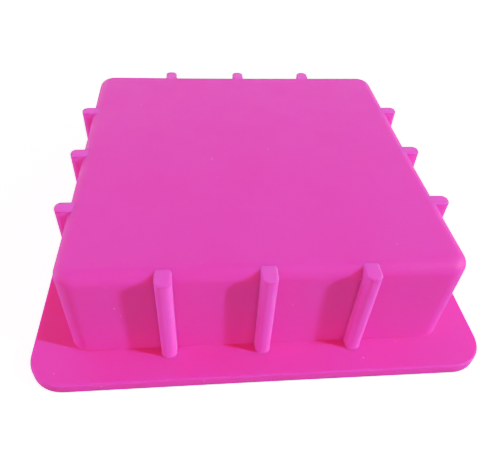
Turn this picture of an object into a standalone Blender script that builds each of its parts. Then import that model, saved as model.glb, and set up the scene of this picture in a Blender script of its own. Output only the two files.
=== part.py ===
"""Square soap loaf mould in soft silicone, lying upside down: rim and mouth on the ground, base on top.

The mould is a single moulding. It is modelled here as its own regions: the base panel, four walls, the
four sides of the rim and twelve stiffening ribs. Each region is a closed solid that stops GAP short of
its neighbours.

Frame: metres, +Z up, origin at the centre of the mouth in the plane that the rim lies on, -Y to the front.
"""

import math

import bmesh
import bpy
from mathutils import Matrix, Vector

# Driving dimensions, in metres.
HEIGHT = 0.060  # underside of the rim to the outside of the base
BOX_SIDE = 0.192  # outside of one wall to the outside of the opposite wall
WALL = 0.005  # thickness of the walls and of the base
BOX_CORNER = 0.010  # outside radius of an upright corner
BOX_EDGE = 0.0065  # outside radius where a wall turns over into the base

RIM_SIDE = 0.230  # rim, from outer edge to outer edge
RIM_THICKNESS = 0.006
RIM_CORNER = 0.018  # radius of the rim's corners, seen from above
RIM_EDGE = 0.0012  # rounding along the rim's upper outer edge

RIB_WIDTH = 0.0075  # along the wall
RIB_DEPTH = 0.0061  # away from the wall
RIB_PITCH = 0.047  # from rib to rib along a wall
RIB_DROP = 0.0005  # a rib ends this far below the outside of the base
RIB_NOSE = 0.0032  # rounding of a rib's two upright outer edges
RIB_EDGE = 0.001  # rounding around a rib's upper end

GAP = 0.0003  # clearance between neighbouring solids

# Number of flat faces along a rounded stretch.
QUARTER_FACES = 8
NOSE_FACES = 6
EDGE_FACES = 3

ROUND = 0.5  # bevel profile of a circular arc
SHARP_ANGLE = math.radians(30)  # an edge that turns further than this stays crisp
SAME_PLACE = 1e-6  # points nearer than this are one point

# Values worked out from the driving dimensions.
HALF_BOX = BOX_SIDE / 2
FOOT = RIM_THICKNESS + GAP  # height at which the walls and ribs start
SHOULDER = HEIGHT - BOX_EDGE  # height at which a wall starts to turn over
STRAIGHT = HALF_BOX - BOX_CORNER  # half the straight length of a wall

# Finish of the silicone: linear colour, roughness, metallic.
MAGENTA = (0.74, 0.08, 0.46, 1.0)
SATIN = 0.5
NOT_METAL = 0.0

# Each side of the mould is the front one turned about the upright axis.
SIDES = {"front": 0, "right": 90, "back": 180, "left": 270}
RIB_PLACES = {"left": -1, "middle": 0, "right": 1}  # as seen when facing the wall from outside


def clear_scene():
    """Remove whatever the scene holds."""
    for thing in list(bpy.data.objects):
        bpy.data.objects.remove(thing, do_unlink=True)


def silicone(name):
    """Return a satin magenta silicone material."""
    material = bpy.data.materials.new(name)
    material.use_nodes = True
    shader = material.node_tree.nodes["Principled BSDF"]
    shader.inputs["Base Color"].default_value = MAGENTA
    shader.inputs["Roughness"].default_value = SATIN
    shader.inputs["Metallic"].default_value = NOT_METAL
    material.diffuse_color = MAGENTA
    return material


def arc(centre, radius, start, end, faces):
    """Points on a circular arc in a plane, from angle start to angle end, ends included."""
    points = []
    for step in range(faces + 1):
        angle = start + (end - start) * step / faces
        points.append((centre[0] + radius * math.cos(angle), centre[1] + radius * math.sin(angle)))
    return points


def outline_face(bm, points):
    """Make one face from a closed outline of 3-D points."""
    verts = [bm.verts.new(point) for point in points]
    return bm.faces.new(verts)


def extrude(bm, face, move):
    """Pull a face along a vector, and return the face at the far end."""
    pulled = bmesh.ops.extrude_face_region(bm, geom=[face])["geom"]
    verts = [item for item in pulled if isinstance(item, bmesh.types.BMVert)]
    bmesh.ops.translate(bm, verts=verts, vec=move)
    return next(item for item in pulled if isinstance(item, bmesh.types.BMFace))


def cut_mitres(bm):
    """Trim a front piece at the two diagonals of the square, half a gap short of each."""
    for toward in (-1, 1):
        normal = Vector((toward, 1, 0)).normalized()
        everything = bm.verts[:] + bm.edges[:] + bm.faces[:]
        cut = bmesh.ops.bisect_plane(
            bm, geom=everything, plane_co=-normal * GAP / 2, plane_no=normal, clear_outer=True
        )
        cut_edges = [item for item in cut["geom_cut"] if isinstance(item, bmesh.types.BMEdge)]
        bmesh.ops.contextual_create(bm, geom=cut_edges)


def finish_mesh(bm, name, material):
    """Turn the faces outwards and write them to a smooth-shaded mesh."""
    bmesh.ops.remove_doubles(bm, verts=bm.verts[:], dist=SAME_PLACE)
    bmesh.ops.recalc_face_normals(bm, faces=bm.faces[:])
    mesh = bpy.data.meshes.new(name)
    bm.to_mesh(mesh)
    bm.free()
    mesh.shade_smooth()
    mesh.set_sharp_from_angle(angle=SHARP_ANGLE)
    mesh.materials.append(material)
    return mesh


def base_mesh():
    """The flat closed base: a plate with slightly rounded corners, inside the walls' turned-over edges."""
    side = 2 * (HALF_BOX - BOX_EDGE - GAP)
    size = Matrix.Diagonal((side, side, WALL, 1))
    place = Matrix.Translation((0, 0, HEIGHT - WALL / 2))
    bm = bmesh.new()
    bmesh.ops.create_cube(bm, size=1, matrix=place @ size)
    upright = [edge for edge in bm.edges if abs(edge.verts[0].co.z - edge.verts[1].co.z) > WALL / 2]
    corner = BOX_CORNER - BOX_EDGE - GAP
    bmesh.ops.bevel(bm, geom=upright, offset=corner, segments=EDGE_FACES, profile=ROUND, affect="EDGES")
    return finish_mesh(bm, "base_panel", silicone("base_silicone"))


def wall_profile():
    """Section through a wall as (distance from the centre, height): upright, then turned over at the top."""
    turn = (HALF_BOX - BOX_EDGE, SHOULDER)
    outside = arc(turn, BOX_EDGE, 0, math.pi / 2, QUARTER_FACES)
    inside = arc(turn, BOX_EDGE - WALL, math.pi / 2, 0, QUARTER_FACES)
    return [(HALF_BOX, FOOT)] + outside + inside + [(HALF_BOX - WALL, FOOT)]


def wall_mesh():
    """The front wall: its section pulled along the side, then turned half way round each corner."""
    bm = bmesh.new()
    start = outline_face(bm, [(-STRAIGHT, -out, height) for out, height in wall_profile()])
    far = extrude(bm, start, (2 * STRAIGHT, 0, 0))
    for face, end in ((start, -1), (far, 1)):
        bmesh.ops.spin(
            bm,
            geom=[face],
            cent=(end * STRAIGHT, -STRAIGHT, 0),
            axis=(0, 0, 1),
            angle=end * math.pi / 4,
            steps=QUARTER_FACES // 2,
        )
    bmesh.ops.delete(bm, geom=[start, far], context="FACES_ONLY")
    cut_mitres(bm)
    return finish_mesh(bm, "wall", silicone("wall_silicone"))


def corner_line(distance, radius, end):
    """Half a rounded corner of a square, seen from above, from its straight side to the diagonal."""
    centre = (end * (distance - radius), -(distance - radius))
    middle = -math.pi / 2
    return arc(centre, radius, middle, middle + end * math.pi / 4, QUARTER_FACES // 2)


def on_line(point, line):
    """Whether a point stands at one of a line's own points, seen from above."""
    return any(math.dist(point.xy, spot) < SAME_PLACE for spot in line)


def rim_mesh():
    """The front side of the rim: a flat strip from the mouth to the outer edge, rounded along its top."""
    mouth = HALF_BOX - WALL
    mouth_corner = BOX_CORNER - WALL
    outer = corner_line(RIM_SIDE / 2, RIM_CORNER, -1)[::-1] + corner_line(RIM_SIDE / 2, RIM_CORNER, 1)
    inner = corner_line(mouth, mouth_corner, 1)[::-1] + corner_line(mouth, mouth_corner, -1)
    bm = bmesh.new()
    bottom = outline_face(bm, [(x, y, 0) for x, y in outer + inner])
    extrude(bm, bottom, (0, 0, RIM_THICKNESS))
    upper = [
        edge
        for edge in bm.edges
        if all(vert.co.z > RIM_THICKNESS / 2 and on_line(vert.co, outer) for vert in edge.verts)
    ]
    bmesh.ops.bevel(bm, geom=upper, offset=RIM_EDGE, segments=EDGE_FACES, profile=ROUND, affect="EDGES")
    cut_mitres(bm)
    return finish_mesh(bm, "rim", silicone("rim_silicone"))


def rib_profile():
    """Side view of a rib as (distance from the centre, height), following the wall on its inner side."""
    top = HEIGHT - RIB_DROP
    radius = BOX_EDGE + GAP
    turn = (HALF_BOX - BOX_EDGE, SHOULDER)
    lean = math.asin((top - SHOULDER) / radius)
    inside = arc(turn, radius, 0, lean, QUARTER_FACES)
    return [(HALF_BOX + GAP, FOOT)] + inside + [(HALF_BOX + RIB_DEPTH, top), (HALF_BOX + RIB_DEPTH, FOOT)]


def rib_mesh():
    """One rib of the front wall: its side view pulled to the rib's width, with a round nose."""
    nose = -(HALF_BOX + RIB_DEPTH)
    bm = bmesh.new()
    side = outline_face(bm, [(-RIB_WIDTH / 2, -out, height) for out, height in rib_profile()])
    extrude(bm, side, (RIB_WIDTH, 0, 0))
    upright = [
        edge
        for edge in bm.edges
        if all(abs(vert.co.y - nose) < GAP for vert in edge.verts)
        and abs(edge.verts[0].co.z - edge.verts[1].co.z) > RIB_WIDTH
    ]
    bmesh.ops.bevel(bm, geom=upright, offset=RIB_NOSE, segments=NOSE_FACES, profile=ROUND, affect="EDGES")
    top = HEIGHT - RIB_DROP
    inner_end = -max(vert.co.y for vert in bm.verts)
    upper = [
        edge
        for edge in bm.edges
        if all(vert.co.z > top - GAP for vert in edge.verts)
        and any(-vert.co.y > inner_end + GAP for vert in edge.verts)
    ]
    bmesh.ops.bevel(bm, geom=upper, offset=RIB_EDGE, segments=EDGE_FACES, profile=ROUND, affect="EDGES")
    return finish_mesh(bm, "rib", silicone("rib_silicone"))


def place(name, mesh, parent, turn=0.0, along=0.0):
    """Add an object of this mesh, shifted along the front wall and then turned to its own side."""
    piece = bpy.data.objects.new(name, mesh)
    bpy.context.scene.collection.objects.link(piece)
    piece.parent = parent
    piece.rotation_euler.z = turn
    piece.location = Matrix.Rotation(turn, 3, "Z") @ Vector((along, 0, 0))
    return piece


def build():
    """Model each region once and place its copies round the mould."""
    clear_scene()
    mould = bpy.data.objects.new("mould", None)
    bpy.context.scene.collection.objects.link(mould)
    wall = wall_mesh()
    rim = rim_mesh()
    rib = rib_mesh()
    place("base_panel", base_mesh(), mould)
    for side, degrees in SIDES.items():
        turn = math.radians(degrees)
        place(f"wall_{side}", wall, mould, turn)
        place(f"rim_{side}", rim, mould, turn)
        for where, steps in RIB_PLACES.items():
            place(f"rib_{side}_{where}", rib, mould, turn, steps * RIB_PITCH)


build()
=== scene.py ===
# %% [markdown]
# A soap loaf mould in magenta silicone, lying upside down with its flat base on top and its rim on the
# floor. The real thing comes out of one steel tool in one shot: a square tray, a wide rim round its
# mouth, and three stiffening ribs on each wall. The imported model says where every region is. This
# script builds the one smooth skin that a moulding has, and gives it the look of satin silicone.

# %% Load the frame
import math

import bmesh
import bpy
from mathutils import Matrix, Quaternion, Vector


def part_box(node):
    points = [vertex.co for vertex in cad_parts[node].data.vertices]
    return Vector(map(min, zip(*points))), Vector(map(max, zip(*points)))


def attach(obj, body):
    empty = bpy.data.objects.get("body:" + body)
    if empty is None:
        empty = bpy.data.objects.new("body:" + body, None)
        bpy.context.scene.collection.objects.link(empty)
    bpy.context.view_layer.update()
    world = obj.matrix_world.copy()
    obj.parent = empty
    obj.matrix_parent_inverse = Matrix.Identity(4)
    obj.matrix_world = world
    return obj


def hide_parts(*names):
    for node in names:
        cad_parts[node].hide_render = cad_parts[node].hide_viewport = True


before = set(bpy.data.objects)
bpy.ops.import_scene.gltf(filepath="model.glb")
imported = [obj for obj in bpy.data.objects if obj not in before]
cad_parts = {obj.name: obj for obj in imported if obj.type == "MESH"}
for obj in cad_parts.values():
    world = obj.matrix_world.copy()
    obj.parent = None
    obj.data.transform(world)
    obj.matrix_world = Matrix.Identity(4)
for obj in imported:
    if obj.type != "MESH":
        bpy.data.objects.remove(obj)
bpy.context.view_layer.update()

# %% [markdown]
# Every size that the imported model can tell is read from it, so the skin always fits the solids. A box
# can't tell the radii of its corners, so these are given here.

# %% Sizes
half_rim = -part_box("rim_front")[0].y
rim_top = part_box("rim_front")[1].z
half_box = -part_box("wall_front")[0].y
base_under, base_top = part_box("base_panel")[0].z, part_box("base_panel")[1].z
wall = base_top - base_under
half_cavity = half_box - wall

rim_corner = 0.018
box_corner = 0.010
cavity_corner = box_corner - wall
turn_over = 0.0065  # radius where a wall turns over into the base

print(f"rim {2 * half_rim:.3f}, tray {2 * half_box:.3f}, height {base_top:.3f}, wall {wall:.3f}")

# %% [markdown]
# The camera stands in front and a little to the left, looking down at 43 degrees from close by, with
# the small tilt of a hand-held shot. Working it out from an aim point, two angles and a distance keeps
# each number something that a person could set on a tripod.

# %% Camera
camera_turn = math.radians(-7.3)
camera_rise = math.radians(43.3)
camera_tilt = math.radians(3.6)
camera_distance = 0.3253
camera_aim = Vector((-0.0013, -0.0092, 0.0))

towards_camera = Vector(
    (
        math.sin(camera_turn) * math.cos(camera_rise),
        -math.cos(camera_turn) * math.cos(camera_rise),
        math.sin(camera_rise),
    )
)
camera_data = bpy.data.cameras.new("camera")
camera_data.lens = 36.05
camera_data.shift_x = 0.0113
camera_data.shift_y = -0.0037
camera_data.clip_start = 0.01
camera = bpy.data.objects.new("camera", camera_data)
bpy.context.scene.collection.objects.link(camera)
camera.location = camera_aim + towards_camera * camera_distance
camera.rotation_mode = "QUATERNION"
camera.rotation_quaternion = towards_camera.to_track_quat("Z", "Y") @ Quaternion((0, 0, 1), camera_tilt)
bpy.context.scene.camera = camera
print("camera at", [round(value, 3) for value in camera.location])

# %% [markdown]
# One small bright lamp low on the right gives each rib its crisp shadow on the wall, and a broad weak
# panel on the left lifts the left corner. The room around is a soft dome with a band of brighter light
# along the horizon, strongest on the left, which puts a milky sheen on the base. From below comes only
# a little light.

# %% Room light
dome_light = 0.31
low_light = 1.64  # strength of the band of light along the horizon
low_swing = 1.28  # how much stronger it is towards the left, and weaker towards the right
to_left = (-0.94, 0.34, 0.0)
under_light = 0.36

world = bpy.data.worlds.new("room")
world.use_nodes = True
bpy.context.scene.world = world
world_nodes, world_links = world.node_tree.nodes, world.node_tree.links


def world_math(operation, *values):
    """Add a math node to the world. Each value is a number or another node's output."""
    node = world_nodes.new("ShaderNodeMath")
    node.operation = operation
    for socket, value in zip(node.inputs, values):
        if isinstance(value, float):
            socket.default_value = value
        else:
            world_links.new(value, socket)
    return node.outputs["Value"]


direction = world_nodes.new("ShaderNodeTexCoord").outputs["Generated"]
split = world_nodes.new("ShaderNodeSeparateXYZ")
world_links.new(direction, split.inputs["Vector"])
leftward = world_nodes.new("ShaderNodeVectorMath")
leftward.operation = "DOT_PRODUCT"
world_links.new(direction, leftward.inputs[0])
leftward.inputs[1].default_value = to_left
height = split.outputs["Z"]
band = world_math("POWER", world_math("SUBTRACT", 1.0, height), 2.0)
around = world_math("MULTIPLY_ADD", leftward.outputs["Value"], low_swing, low_light)
above = world_math("GREATER_THAN", height, 0.0)
upper = world_math("MULTIPLY", world_math("MULTIPLY_ADD", band, around, dome_light), above)
lower = world_math("MULTIPLY", world_math("SUBTRACT", 1.0, above), under_light)
room = world_nodes["Background"]
room.inputs["Color"].default_value = (1.0, 1.0, 1.0, 1.0)
world_links.new(world_math("ADD", upper, lower), room.inputs["Strength"])


# %% Lamps
def add_lamp(name, side, rise, distance, size, power):
    """A round lamp aimed at the mould: side and rise in degrees, side 0 in front and 90 on the right."""
    side, rise = math.radians(side), math.radians(rise)
    away = Vector((math.sin(side) * math.cos(rise), -math.cos(side) * math.cos(rise), math.sin(rise)))
    lamp_data = bpy.data.lights.new(name, "AREA")
    lamp_data.shape = "DISK"
    lamp_data.size = size
    lamp_data.energy = power
    lamp = bpy.data.objects.new(name, lamp_data)
    bpy.context.scene.collection.objects.link(lamp)
    lamp.location = away * distance
    lamp.rotation_mode = "QUATERNION"
    lamp.rotation_quaternion = away.to_track_quat("Z", "Y")


add_lamp("key_lamp", side=69.8, rise=28, distance=2.5, size=0.16, power=76)
add_lamp("left_panel", side=-100, rise=4, distance=2.5, size=1.2, power=18)

# %% [markdown]
# Bright reds are rolled off softly, much as a camera does it: up to about half of full brightness the
# curve stays near the straight line, and above that it flattens. Its points were tuned until the reds of
# the mould came out right. A film-like transform would wash out so strong a magenta, so the plain
# Standard one is used with this curve in front of it.

# %% Tone
curve_reach = 1.6  # light of this strength comes out as full white
tone_points = (
    (0.05, 0.043),
    (0.12, 0.108),
    (0.20, 0.20),
    (0.30, 0.33),
    (0.42, 0.465),
    (0.60, 0.60),
    (0.85, 0.725),
    (1.10, 0.79),
    (1.35, 0.87),
)

view = bpy.context.scene.view_settings
view.view_transform = "Standard"
view.use_curve_mapping = True
view.curve_mapping.white_level = (curve_reach, curve_reach, curve_reach)
for light, shown in tone_points:
    view.curve_mapping.curves[3].points.new(light / curve_reach, shown)
view.curve_mapping.update()

# %% [markdown]
# The floor is a large sheet of white board, a hair below the rim so that the two never share a plane.
# It glows a little like a light table, so it stays white round the mould. A real board would light the
# mould from below and fill the shadows that shape the ribs, so this one is hidden from the mould.

# %% Floor
floor_gap = 0.0002
floor_size = 60
bpy.ops.object.select_all(action="DESELECT")
bpy.ops.mesh.primitive_plane_add(size=floor_size, location=(0, 0, -floor_gap))
floor = bpy.context.object
floor.name = "floor"
board = bpy.data.materials.new("white_board")
board.use_nodes = True
board_shader = board.node_tree.nodes["Principled BSDF"]
board_shader.inputs["Base Color"].default_value = (0.3, 0.3, 0.3, 1.0)
board_shader.inputs["Roughness"].default_value = 0.9
board_shader.inputs["Emission Color"].default_value = (1.0, 1.0, 1.0, 1.0)
board_shader.inputs["Emission Strength"].default_value = 1.4
floor.data.materials.append(board)
floor.visible_diffuse = False
floor.visible_glossy = False
floor.visible_shadow = False

# %% [markdown]
# Modelling by hand means opening one piece in edit mode, picking some edges or faces, and using a tool
# on them. These helpers do the picking by place or by direction, so that the tools that follow read
# like the clicks they stand for.


# %% Picking helpers
def near(a, b):
    """Whether two lengths are the same to a hundredth of a millimetre."""
    return abs(a - b) < 1e-5


def outward(point):
    """How far a point lies from the middle, measured square on to the nearest side."""
    return max(abs(point.x), abs(point.y))


def choose(pieces):
    """Select these objects and nothing else, the first one active."""
    if bpy.context.mode != "OBJECT":
        bpy.ops.object.mode_set(mode="OBJECT")
    bpy.ops.object.select_all(action="DESELECT")
    for piece in pieces:
        piece.select_set(True)
    bpy.context.view_layer.objects.active = pieces[0]


def open_edit(piece, kind):
    """Open one piece in edit mode with nothing picked. kind is VERT, EDGE or FACE."""
    choose([piece])
    bpy.ops.object.mode_set(mode="EDIT")
    bpy.ops.mesh.select_mode(type=kind)
    bpy.ops.mesh.select_all(action="DESELECT")


def close_edit():
    """Leave edit mode."""
    bpy.ops.object.mode_set(mode="OBJECT")


def pick_edges(piece, wanted):
    """Select each edge whose two ends both pass the test, and say how many there are."""
    mesh = bmesh.from_edit_mesh(piece.data)
    found = [edge for edge in mesh.edges if all(wanted(vert.co) for vert in edge.verts)]
    for edge in found:
        edge.select = True
    bmesh.update_edit_mesh(piece.data)
    return len(found)


facing = 0.9  # a face whose normal has this much of a direction in it faces that way


def pick_faces(piece, wanted):
    """Select each face whose normal and middle pass the test, and say how many there are."""
    mesh = bmesh.from_edit_mesh(piece.data)
    found = [face for face in mesh.faces if wanted(face.normal, face.calc_center_median())]
    for face in found:
        face.select = True
    bmesh.update_edit_mesh(piece.data)
    return len(found)


# %% [markdown]
# The tray, its rim and the hollow inside it are all square blocks with rounded upright corners. Each
# starts as a cube at its real size. Its four upright edges get the same number of bevel steps, so the
# three outlines have the same number of points, which lets them be joined with clean strips later.

# %% Rounded blocks
corner_steps = 12


def rounded_block(name, half, bottom, top, corner):
    """A square block with its upright edges rounded to the radius corner."""
    bpy.ops.object.select_all(action="DESELECT")
    bpy.ops.mesh.primitive_cube_add(
        size=1, location=(0, 0, (bottom + top) / 2), scale=(2 * half, 2 * half, top - bottom)
    )
    block = bpy.context.object
    block.name = name
    bpy.ops.object.transform_apply(location=True, rotation=True, scale=True)
    open_edit(block, "EDGE")
    mesh = bmesh.from_edit_mesh(block.data)
    for edge in mesh.edges:
        edge.select = abs(edge.verts[0].co.z - edge.verts[1].co.z) > (top - bottom) / 2
    bmesh.update_edit_mesh(block.data)
    bpy.ops.mesh.bevel(offset=corner, segments=corner_steps, profile=0.5, affect="EDGES")
    close_edit()
    return block


def open_ends(block, downward_only):
    """Remove a block's lower face, and its upper one too unless it is to stay."""
    open_edit(block, "FACE")
    pick_faces(block, lambda normal, middle: normal.z < -facing or (normal.z > facing and not downward_only))
    bpy.ops.mesh.delete(type="ONLY_FACE")
    close_edit()


rim_block = rounded_block("rim_block", half_rim, 0, rim_top, rim_corner)
tray_block = rounded_block("tray_block", half_box, rim_top, base_top, box_corner)
hollow_block = rounded_block("hollow_block", half_cavity, 0, base_under, cavity_corner)
open_ends(rim_block, downward_only=False)
open_ends(tray_block, downward_only=True)
open_ends(hollow_block, downward_only=True)
print("outline points", len(rim_block.data.vertices) // 2, len(tray_block.data.vertices) // 2)

# %% [markdown]
# Joined into one object, the open outlines are bridged: on top from the foot of the tray to the rim's
# edge, and underneath from the rim's edge to the mouth. That closes the skin into a single shell with
# the hollow inside. Normals are then made consistent, which turns the hollow's walls the right way.

# %% One closed shell
choose([tray_block, rim_block, hollow_block])
bpy.ops.object.join()
mould_body = bpy.context.object
mould_body.name = "mould_body"
mould_body.data.name = "mould_body"


def bridge_at(height):
    """Join the two open outlines that lie at this height with a strip of faces."""
    open_edit(mould_body, "EDGE")
    mesh = bmesh.from_edit_mesh(mould_body.data)
    for edge in mesh.edges:
        edge.select = edge.is_boundary and all(near(vert.co.z, height) for vert in edge.verts)
    bmesh.update_edit_mesh(mould_body.data)
    bpy.ops.mesh.bridge_edge_loops()


bridge_at(rim_top)
bridge_at(0)
bpy.ops.mesh.select_all(action="SELECT")
bpy.ops.mesh.normals_make_consistent(inside=False)
close_edit()
print("shell faces", len(mould_body.data.polygons))

# %% [markdown]
# A liquid rubber fills a polished steel tool, and no edge of the tool is sharp. The wall turns over
# into the base on a soft radius, the rim has a small upper edge, and where the wall meets the rim there
# is only a tiny fillet, which reads as a thin line. Each edge line is picked by its height and its
# distance from the middle, and bevelled.

# %% Rounded edges
between = (half_rim + half_box) / 2  # lines further out than this belong to the rim's edge
rim_edge = 0.0011
foot_fillet = 0.0005
lower_edge = 0.0003
mouth_edge = 0.0010
floor_fillet = 0.0040


def round_line(wanted, radius, steps):
    """Round the edge line of the shell whose points pass the test."""
    open_edit(mould_body, "EDGE")
    count = pick_edges(mould_body, wanted)
    bpy.ops.mesh.bevel(offset=radius, segments=steps, profile=0.5, affect="EDGES", clamp_overlap=False)
    close_edit()
    print(f"rounded {count} edges to {1000 * radius:.1f} mm")


round_line(lambda point: near(point.z, base_top), turn_over, 10)
round_line(lambda point: near(point.z, base_under), floor_fillet, 6)
round_line(lambda point: near(point.z, rim_top) and outward(point) < between, foot_fillet, 4)
round_line(lambda point: near(point.z, rim_top) and outward(point) > between, rim_edge, 5)
round_line(lambda point: near(point.z, 0) and outward(point) > between, lower_edge, 3)
round_line(lambda point: near(point.z, 0) and outward(point) < between, mouth_edge, 3)

# %% [markdown]
# Silicone is soft, so no wall is as straight as the drawing. To be able to bend, the flat stretches
# need points in them. Bisecting the whole shell along a grid of planes adds them without changing the
# shape.

# %% Points to bend
grid_pitch = 0.010
grid_lines = int(half_rim / grid_pitch)
wall_levels = 6

open_edit(mould_body, "FACE")
cuts = [((step * grid_pitch, 0, 0), (1, 0, 0)) for step in range(-grid_lines, grid_lines + 1)]
cuts += [((0, step * grid_pitch, 0), (0, 1, 0)) for step in range(-grid_lines, grid_lines + 1)]
straight_top, straight_foot = base_top - turn_over, rim_top + foot_fillet
for level in range(1, wall_levels):
    height = straight_foot + (straight_top - straight_foot) * level / wall_levels
    cuts.append(((0, 0, height), (0, 0, 1)))
for point, normal in cuts:
    bpy.ops.mesh.select_all(action="SELECT")
    bpy.ops.mesh.bisect(plane_co=point, plane_no=normal)
close_edit()
print("shell faces after the cuts", len(mould_body.data.polygons))

# %% [markdown]
# A rib is a fin with a rounded nose. Where it grows out of the wall and the rim, the tool has a small
# fillet. The rib is drawn from below as a flat T: the crossbar reaches 4 mm into the wall, and the stem
# is the fin. Vertex bevels round the nose and the two inside corners, and so the flanks run smoothly
# into the wall. The deep root lets scattered light pass as if fin and shell were one solid.

# %% Rib outline
rib_low, rib_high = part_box("rib_front_middle")
rib_half = (rib_high.x - rib_low.x) / 2
rib_nose = rib_low.y
rib_top = rib_high.z
nose_radius = 0.0032
root_fillet = 0.0004
hidden = 0.0040  # how deep the crossbar reaches into the wall
dip = 0.00001  # the fillet ends this far below the wall's face

root_face = -half_box + dip
bar_half = rib_half + root_fillet
bpy.ops.object.select_all(action="DESELECT")
bpy.ops.mesh.primitive_plane_add(size=1, location=(0, root_face + hidden / 2, rim_top))
rib = bpy.context.object
rib.name = "rib"
rib.scale = (2 * bar_half, hidden, 1)
bpy.ops.object.transform_apply(location=True, rotation=True, scale=True)
open_edit(rib, "EDGE")
for side in (-rib_half, rib_half):
    bpy.ops.mesh.select_all(action="SELECT")
    bpy.ops.mesh.bisect(plane_co=(side, 0, 0), plane_no=(1, 0, 0))
bpy.ops.mesh.select_all(action="DESELECT")
pick_edges(rib, lambda point: near(point.y, root_face) and abs(point.x) < rib_half + dip)
bpy.ops.mesh.extrude_region_move(TRANSFORM_OT_translate={"value": (0, rib_nose - root_face, 0)})
bpy.ops.mesh.select_all(action="SELECT")
bpy.ops.mesh.dissolve_limited(angle_limit=math.radians(1))
print("outline corners", len(bmesh.from_edit_mesh(rib.data).verts))


def round_corners(wanted, radius, steps):
    """Round the corners of the rib's flat outline that pass the test."""
    bpy.ops.mesh.select_mode(type="VERT")
    bpy.ops.mesh.select_all(action="DESELECT")
    mesh = bmesh.from_edit_mesh(rib.data)
    for vert in mesh.verts:
        vert.select = wanted(vert.co)
    bmesh.update_edit_mesh(rib.data)
    bpy.ops.mesh.bevel(offset=radius, segments=steps, profile=0.5, affect="VERTICES")


round_corners(lambda point: near(point.y, rib_nose), nose_radius, 8)
round_corners(lambda point: near(point.y, root_face) and near(abs(point.x), rib_half), root_fillet, 4)
close_edit()

# %% [markdown]
# The outline is pulled up into a fin. Along the upright wall nothing moves but the height. Where the
# wall turns over into the base, the crossbar and the fillets step back with it, so the flanks stay
# joined to the wall right up to the level end of the fin.

# %% Pull up the fin
fin_levels = 5
lean_levels = 6
fin_foot = rim_top + root_fillet
lean_end = math.asin((rib_top - straight_top) / turn_over)


def pull_up(height, root_line, back):
    """Extrude the picked face by this height, and move what lies behind the root line back."""
    bpy.ops.mesh.extrude_region_move(TRANSFORM_OT_translate={"value": (0, 0, height)})
    mesh = bmesh.from_edit_mesh(rib.data)
    top_face = next(face for face in mesh.faces if face.select)
    root = [vert for vert in top_face.verts if vert.co.y > root_line]
    bmesh.ops.translate(mesh, verts=root, vec=(0, back, 0))
    bmesh.update_edit_mesh(rib.data)


open_edit(rib, "FACE")
bpy.ops.mesh.select_all(action="SELECT")
bpy.ops.transform.translate(value=(0, 0, root_fillet))
root_line = root_face - root_fillet - 2 * dip
for level in range(fin_levels):
    pull_up((straight_top - fin_foot) / fin_levels, root_line, 0)
for level in range(lean_levels):
    before, after = lean_end * level / lean_levels, lean_end * (level + 1) / lean_levels
    rise = turn_over * (math.sin(after) - math.sin(before))
    back = turn_over * (math.cos(before) - math.cos(after))
    pull_up(rise, root_line, back)
    root_line += back
bpy.ops.mesh.select_all(action="SELECT")
bpy.ops.mesh.normals_make_consistent(inside=False)
close_edit()
print("fin from", round(fin_foot, 4), "to", round(rib_top, 4), "leaning", round(math.degrees(lean_end)))

# %% [markdown]
# The upper end is level, with a small rounding along its free edge. The foot flares out on to the rim
# in a quarter round: the lowest face goes down in small steps, and each step is scaled out from the
# root by the amount that the quarter round has grown. A last long step sinks the root into the rim.

# %% Round the end and flare the foot
end_rounding = 0.0010
foot_steps = 4
fin_depth = root_face - rib_nose

open_edit(rib, "EDGE")
free_line = root_line + root_fillet + 3 * dip
pick_edges(rib, lambda point: near(point.z, rib_top) and point.y < free_line)
bpy.ops.mesh.bevel(offset=end_rounding, segments=4, profile=0.5, affect="EDGES")
close_edit()

open_edit(rib, "FACE")
pick_faces(rib, lambda normal, middle: normal.z < -facing and near(middle.z, fin_foot))
grown, dropped = 0.0, 0.0
for step in range(1, foot_steps + 1):
    angle = math.pi / 2 * step / foot_steps
    grow, drop = root_fillet * (1 - math.cos(angle)), (root_fillet + dip) * math.sin(angle)
    bpy.ops.mesh.extrude_region_move(TRANSFORM_OT_translate={"value": (0, 0, dropped - drop)})
    wider = (rib_half + grow) / (rib_half + grown)
    deeper = (fin_depth + grow) / (fin_depth + grown)
    bpy.ops.transform.resize(value=(wider, deeper, 1), center_override=(0, root_face, 0))
    grown, dropped = grow, drop
bpy.ops.mesh.extrude_region_move(TRANSFORM_OT_translate={"value": (0, 0, -hidden)})
close_edit()
print("fin faces", len(rib.data.polygons))

# %% [markdown]
# All twelve fins are the same, three to a wall. Each is a full copy, shifted along the front wall and
# then turned about the middle of the mould, and its place is applied to its mesh.

# %% Twelve fins
rib_pitch = (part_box("rib_front_right")[0].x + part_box("rib_front_right")[1].x) / 2
side_turns = {"front": 0, "right": 90, "back": 180, "left": 270}
place_steps = {"left": -1, "middle": 0, "right": 1}

fins = {}
for side, degrees in side_turns.items():
    for place, steps in place_steps.items():
        choose([rib])
        bpy.ops.object.duplicate(linked=False)
        fin = bpy.context.object
        fin.name = fin.data.name = f"fin_{side}_{place}"
        turn = math.radians(degrees)
        fin.rotation_euler.z = turn
        fin.location = (steps * rib_pitch * math.cos(turn), steps * rib_pitch * math.sin(turn), 0)
        bpy.ops.object.transform_apply(location=True, rotation=True, scale=True)
        fins[f"rib_{side}_{place}"] = fin
bpy.data.objects.remove(rib, do_unlink=True)
print("fins", len(fins))

# %% [markdown]
# A soft tray never stands quite true: the long walls lean in a little between the corners, and the base
# dips. A lattice is a cage whose bending bends all that is inside it. One cage bends the shell and the
# fins alike, so the fins stay rooted in the walls.

# %% Soft bow
cage_size = Vector((0.25, 0.25, 0.08))
cage_points = 7
cage_levels = 3
wall_bow = 0.0005
base_dip = 0.0003

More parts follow.
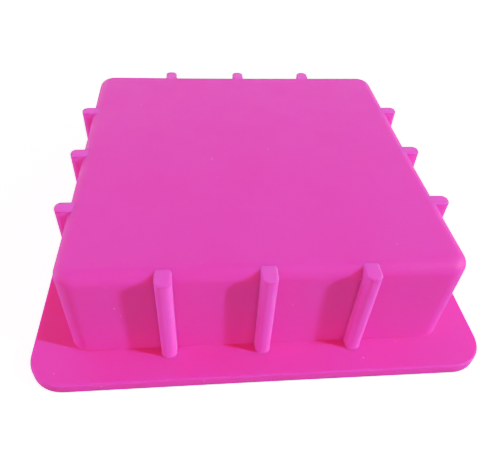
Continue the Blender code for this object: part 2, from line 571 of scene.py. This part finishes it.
bpy.ops.object.select_all(action="DESELECT")
bpy.ops.object.add(type="LATTICE", location=(0, 0, base_top / 2))
cage = bpy.context.object
cage.scale = cage_size
cage.data.points_u = cage.data.points_v = cage_points
cage.data.points_w = cage_levels
for point in cage.data.points:
    x, y, z = (point.co[axis] * cage_size[axis] for axis in range(3))
    height = (z + base_top / 2) / base_top
    across = math.cos(math.pi * min(abs(x) / half_box, 1.0))
    along = math.cos(math.pi * min(abs(y) / half_box, 1.0))
    lift = max(0.0, min(height, 1.0))
    move = Vector((-wall_bow * along * x / half_box, -wall_bow * across * y / half_box, 0)) * lift
    move.z = -base_dip * (1 + across) * (1 + along) / 4 * lift
    point.co_deform = [point.co[axis] + move[axis] / cage_size[axis] for axis in range(3)]

for piece in [mould_body, *fins.values()]:
    choose([piece])
    bow = piece.modifiers.new("bow", "LATTICE")
    bow.object = cage
    bpy.ops.object.modifier_apply(modifier=bow.name)
bpy.data.objects.remove(cage, do_unlink=True)
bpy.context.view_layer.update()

# %% [markdown]
# The roundings have to look round and the flats flat. Smooth shading alone would bend the light near
# each rounding, so a weighted normal modifier gives the large faces the say at every shared point.

# %% Smooth shading
for piece in [mould_body, *fins.values()]:
    choose([piece])
    bpy.ops.object.shade_smooth_by_angle(angle=math.radians(40))
    weighted = piece.modifiers.new("weighted", "WEIGHTED_NORMAL")
    weighted.keep_sharp = True
    bpy.ops.object.modifier_apply(modifier=weighted.name)

# %% [markdown]
# Pigmented silicone is a rubber with a satin skin. Light scatters inside it, red light furthest, so
# shadows in it turn crimson rather than grey. The base colour is a strong magenta with faint clouding
# from the pigment. The skin has a fine matte grain, slow changes in gloss from handling, and a few light
# specks of lint. All of it reads Object coordinates in metres, so the pattern runs on from the shell
# into the fins. The real mould is one material. The fins get a lighter colour and a shallower scatter
# only because the shell's own values render too dark on so thin a piece, with dark outlines. Their
# lighter colour is painted light: it paints in the glow of light that passes through the thin fins.

# %% Silicone finish
pale_magenta = (0.99, 0.066, 0.390, 1.0)
deep_magenta = (0.98, 0.061, 0.372, 1.0)
# The two fin colours below are painted light: lighter than the shell's, to paint in the glow of light
# through the thin fins.
pale_fin_painted_light = (1.0, 0.102, 0.510, 1.0)
deep_fin_painted_light = (1.0, 0.096, 0.490, 1.0)
lint_colour = (0.90, 0.30, 0.62, 1.0)
shell_scatter = 0.010  # how deep light goes, in metres
fin_scatter = 0.003


def silicone_finish(name, pale, deep, depth):
    """A satin silicone between two colours, into which light goes about this deep."""
    finish = bpy.data.materials.new(name)
    finish.use_nodes = True
    nodes, links = finish.node_tree.nodes, finish.node_tree.links
    shader = nodes["Principled BSDF"]
    place = nodes.new("ShaderNodeTexCoord").outputs["Object"]

    def noise(scale, detail):
        """The value of a noise pattern with this many lumps to the metre."""
        pattern = nodes.new("ShaderNodeTexNoise")
        pattern.inputs["Scale"].default_value = scale
        pattern.inputs["Detail"].default_value = detail
        links.new(place, pattern.inputs["Vector"])
        return pattern.outputs["Fac"]

    def spread(value, low, high, to_low=0.0, to_high=1.0):
        """Stretch a value from one range to another."""
        stretch = nodes.new("ShaderNodeMapRange")
        limits = {"From Min": low, "From Max": high, "To Min": to_low, "To Max": to_high}
        for socket, limit in limits.items():
            stretch.inputs[socket].default_value = limit
        links.new(value, stretch.inputs["Value"])
        return stretch.outputs["Result"]

    def blend(factor, first, second):
        """Mix two colours, each a value or a socket."""
        mix = nodes.new("ShaderNodeMix")
        mix.data_type = "RGBA"
        links.new(factor, mix.inputs["Factor"])
        for socket, colour in ((mix.inputs[6], first), (mix.inputs[7], second)):
            if isinstance(colour, tuple):
                socket.default_value = colour
            else:
                links.new(colour, socket)
        return mix.outputs[2]

    def bump(height, distance, strength, under=None):
        """Raise the surface by a height pattern, over any bump below it."""
        raised = nodes.new("ShaderNodeBump")
        raised.inputs["Distance"].default_value = distance
        raised.inputs["Strength"].default_value = strength
        links.new(height, raised.inputs["Height"])
        if under is not None:
            links.new(under, raised.inputs["Normal"])
        return raised.outputs["Normal"]

    clouding = spread(noise(24, 3), 0.35, 0.65)
    lint = spread(noise(420, 1), 0.80, 0.84)
    colour = blend(clouding, deep, pale)
    links.new(blend(lint, colour, lint_colour), shader.inputs["Base Color"])

    links.new(spread(noise(75, 4), 0.35, 0.65, 0.46, 0.56), shader.inputs["Roughness"])

    swell = bump(noise(38, 2), 0.0006, 0.25)
    skin = bump(noise(1500, 3), 0.00004, 0.35, swell)
    links.new(skin, shader.inputs["Normal"])

    shader.inputs["IOR"].default_value = 1.41
    shader.inputs["Subsurface Weight"].default_value = 1.0
    shader.inputs["Subsurface Radius"].default_value = (1.0, 0.20, 0.38)
    shader.inputs["Subsurface Scale"].default_value = depth
    shader.inputs["Specular IOR Level"].default_value = 0.25
    return finish


shell_finish = silicone_finish("shell_silicone", pale_magenta, deep_magenta, shell_scatter)
# The fins' finish carries the painted light of their lighter colour.
fin_painted_light_finish = silicone_finish("fin_silicone_painted_light", pale_fin_painted_light, deep_fin_painted_light, fin_scatter)
for piece in [mould_body, *fins.values()]:
    piece.data.materials.clear()
    piece.data.materials.append(shell_finish if piece is mould_body else fin_painted_light_finish)
print("finishes", shell_finish.name, fin_painted_light_finish.name)

# %% [markdown]
# The shell stands for the base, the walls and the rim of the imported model, and each fin for its own
# rib. All of them ride on the one body, because nothing on a moulding moves.

# %% Attach
shell_nodes = ["base_panel"] + [f"{part}_{side}" for part in ("wall", "rim") for side in side_turns]
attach(mould_body, "root")
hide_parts(*shell_nodes)
for node, fin in fins.items():
    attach(fin, "root")
    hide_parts(node)
